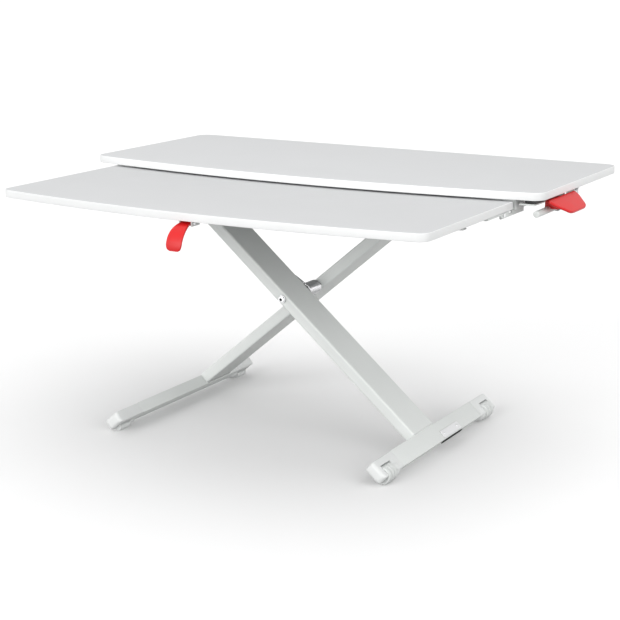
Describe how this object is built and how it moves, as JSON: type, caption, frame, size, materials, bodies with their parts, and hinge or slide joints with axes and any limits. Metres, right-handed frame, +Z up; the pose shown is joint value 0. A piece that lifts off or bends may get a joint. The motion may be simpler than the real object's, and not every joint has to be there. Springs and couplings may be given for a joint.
{
  "type": "standing desk converter",
  "caption": "Sit-stand desk converter: a bowed rear board and a lower tilting front board on crossed steel arms with bar feet, wheels, a side release paddle and a front tilt lever.",
  "frame": {"origin": "centre of the bounding box at desk level, under the crossed arms", "axes": "+X to the right along the boards, +Y towards the back, away from the person using it, +Z up"},
  "size_m": [0.932, 0.7202, 0.4578],
  "materials": {
    "laminate": "light grey laminate on fibreboard, matt, with a white edge band",
    "powder_steel": "fine textured light grey powder coat",
    "grey_plastic": "moulded light grey, fine spark texture",
    "wheel_plastic": "moulded light grey, slightly glossy tread",
    "red_plastic": "glossy moulded red",
    "zinc_steel": "bright zinc plate",
    "spring_steel": "bright close-wound wire",
    "rubber": "matt",
    "black_nylon": "moulded black nylon"
  },
  "bodies": {
    "base": {"pad_front": "grey_plastic", "pad_rear": "grey_plastic", "pad_pin_front": "zinc_steel", "pad_pin_rear": "zinc_steel"},
    "rear_arm": {"arm_rear": "powder_steel", "arm_rear_plug": "black_nylon", "pivot_bush_rear": "black_nylon", "pivot_shaft": "zinc_steel", "pivot_bolt": "zinc_steel", "pivot_washer_front": "zinc_steel", "pivot_washer_rear": "zinc_steel", "pivot_nut": "zinc_steel", "lift_spring": "spring_steel", "foot_bar_left": "powder_steel", "foot_cap_left_front": "grey_plastic", "foot_cap_left_rear": "grey_plastic", "roller_axle": "zinc_steel"},
    "roller_front": {"track_roller_front": "black_nylon"},
    "roller_rear": {"track_roller_rear": "black_nylon"},
    "front_arm": {"arm_front": "powder_steel", "arm_front_plug": "black_nylon", "pivot_bush_front": "black_nylon", "foot_bar_right": "powder_steel", "foot_cap_right_front": "grey_plastic", "foot_cap_right_rear": "grey_plastic", "wheel_pin_front": "zinc_steel", "wheel_pin_rear": "zinc_steel", "anchor_plate": "zinc_steel", "anchor_strip": "rubber"},
    "wheel_front": {"wheel_front": "wheel_plastic"},
    "wheel_rear": {"wheel_rear": "wheel_plastic"},
    "platform": {"rear_board": "laminate", "rail_front": "powder_steel", "rail_rear": "powder_steel", "beam_left": "powder_steel", "beam_right": "powder_steel", "hinge_bracket": "powder_steel", "hinge_axle": "zinc_steel", "track_front": "powder_steel", "track_rear": "powder_steel", "shaft_bracket_front": "powder_steel", "shaft_bracket_rear": "powder_steel", "lock_housing": "black_nylon", "latch_plate": "powder_steel", "latch_block": "black_nylon", "tilt_bracket_left": "powder_steel", "tilt_bracket_right": "powder_steel"},
    "release_lever": {"release_paddle": "red_plastic", "release_shaft": "powder_steel", "release_spring": "spring_steel", "release_crank": "zinc_steel"},
    "lock_rod": {"lock_rod": "zinc_steel"},
    "keyboard_shelf": {"front_board": "laminate", "tilt_arm_left": "powder_steel", "tilt_arm_right": "powder_steel", "tilt_pin_left": "zinc_steel", "tilt_pin_right": "zinc_steel", "tilt_lever_pin": "zinc_steel", "tilt_lever_bracket": "powder_steel"},
    "tilt_lever": {"tilt_lever": "red_plastic"}
  },
  "joints": [
    {"name": "lift", "type": "hinge", "parent": "base", "child": "rear_arm", "pos_m": [-0.28666, 0, 0.015], "axis": [0, -1, 0], "range_deg": [-35, 5]},
    {"name": "arm_cross", "type": "hinge", "parent": "rear_arm", "child": "front_arm", "pos_m": [-0.016, 0, 0.24472], "axis": [0, -1, 0], "range_deg": [-10, 70]},
    {"name": "platform_hinge", "type": "hinge", "parent": "front_arm", "child": "platform", "pos_m": [-0.18652, 0, 0.38781], "axis": [0, -1, 0], "range_deg": [-35, 5]},
    {"name": "track_roller_front", "type": "hinge", "parent": "rear_arm", "child": "roller_front", "pos_m": [0.15452, 0.00006, 0.38781], "axis": [0, 1, 0], "continuous": true},
    {"name": "wheel_front", "type": "hinge", "parent": "front_arm", "child": "wheel_front", "pos_m": [0.25466, -0.00017, 0.015], "axis": [0, 1, 0], "continuous": true},
    {"name": "track_roller_rear", "type": "hinge", "parent": "rear_arm", "child": "roller_rear", "pos_m": [0.15452, 0.00015, 0.38781], "axis": [0, 1, 0], "continuous": true},
    {"name": "wheel_rear", "type": "hinge", "parent": "front_arm", "child": "wheel_rear", "pos_m": [0.25466, 0.0002, 0.015], "axis": [0, 1, 0], "continuous": true},
    {"name": "release", "type": "hinge", "parent": "platform", "child": "release_lever", "pos_m": [0.42, 0, 0.42131], "axis": [0, -1, 0], "range_deg": [0, 14], "stiffness_Nm_per_rad": 1.2, "springref_deg": -20.05},
    {"name": "lock_pull", "type": "slide", "parent": "platform", "child": "lock_rod", "axis": [-1, 0, 0], "range_m": [0, 0.0036]},
    {"name": "keyboard_tilt", "type": "hinge", "parent": "platform", "child": "keyboard_shelf", "pos_m": [0, -0.02794, 0.42481], "axis": [-1, 0, 0], "range_deg": [0, 10]},
    {"name": "tilt_squeeze", "type": "hinge", "parent": "keyboard_shelf", "child": "tilt_lever", "pos_m": [-0.0175, -0.32094, 0.42401], "axis": [-1, 0, 0], "range_deg": [0, 20], "stiffness_Nm_per_rad": 0.6, "springref_deg": -17.19}
  ],
  "couplings": [
    {"joint": "arm_cross", "follows": "lift", "ratio": -2},
    {"joint": "platform_hinge", "follows": "lift", "ratio": 1},
    {"joint": "lock_pull", "follows": "release", "m_per_rad": 0.014}
  ]
}
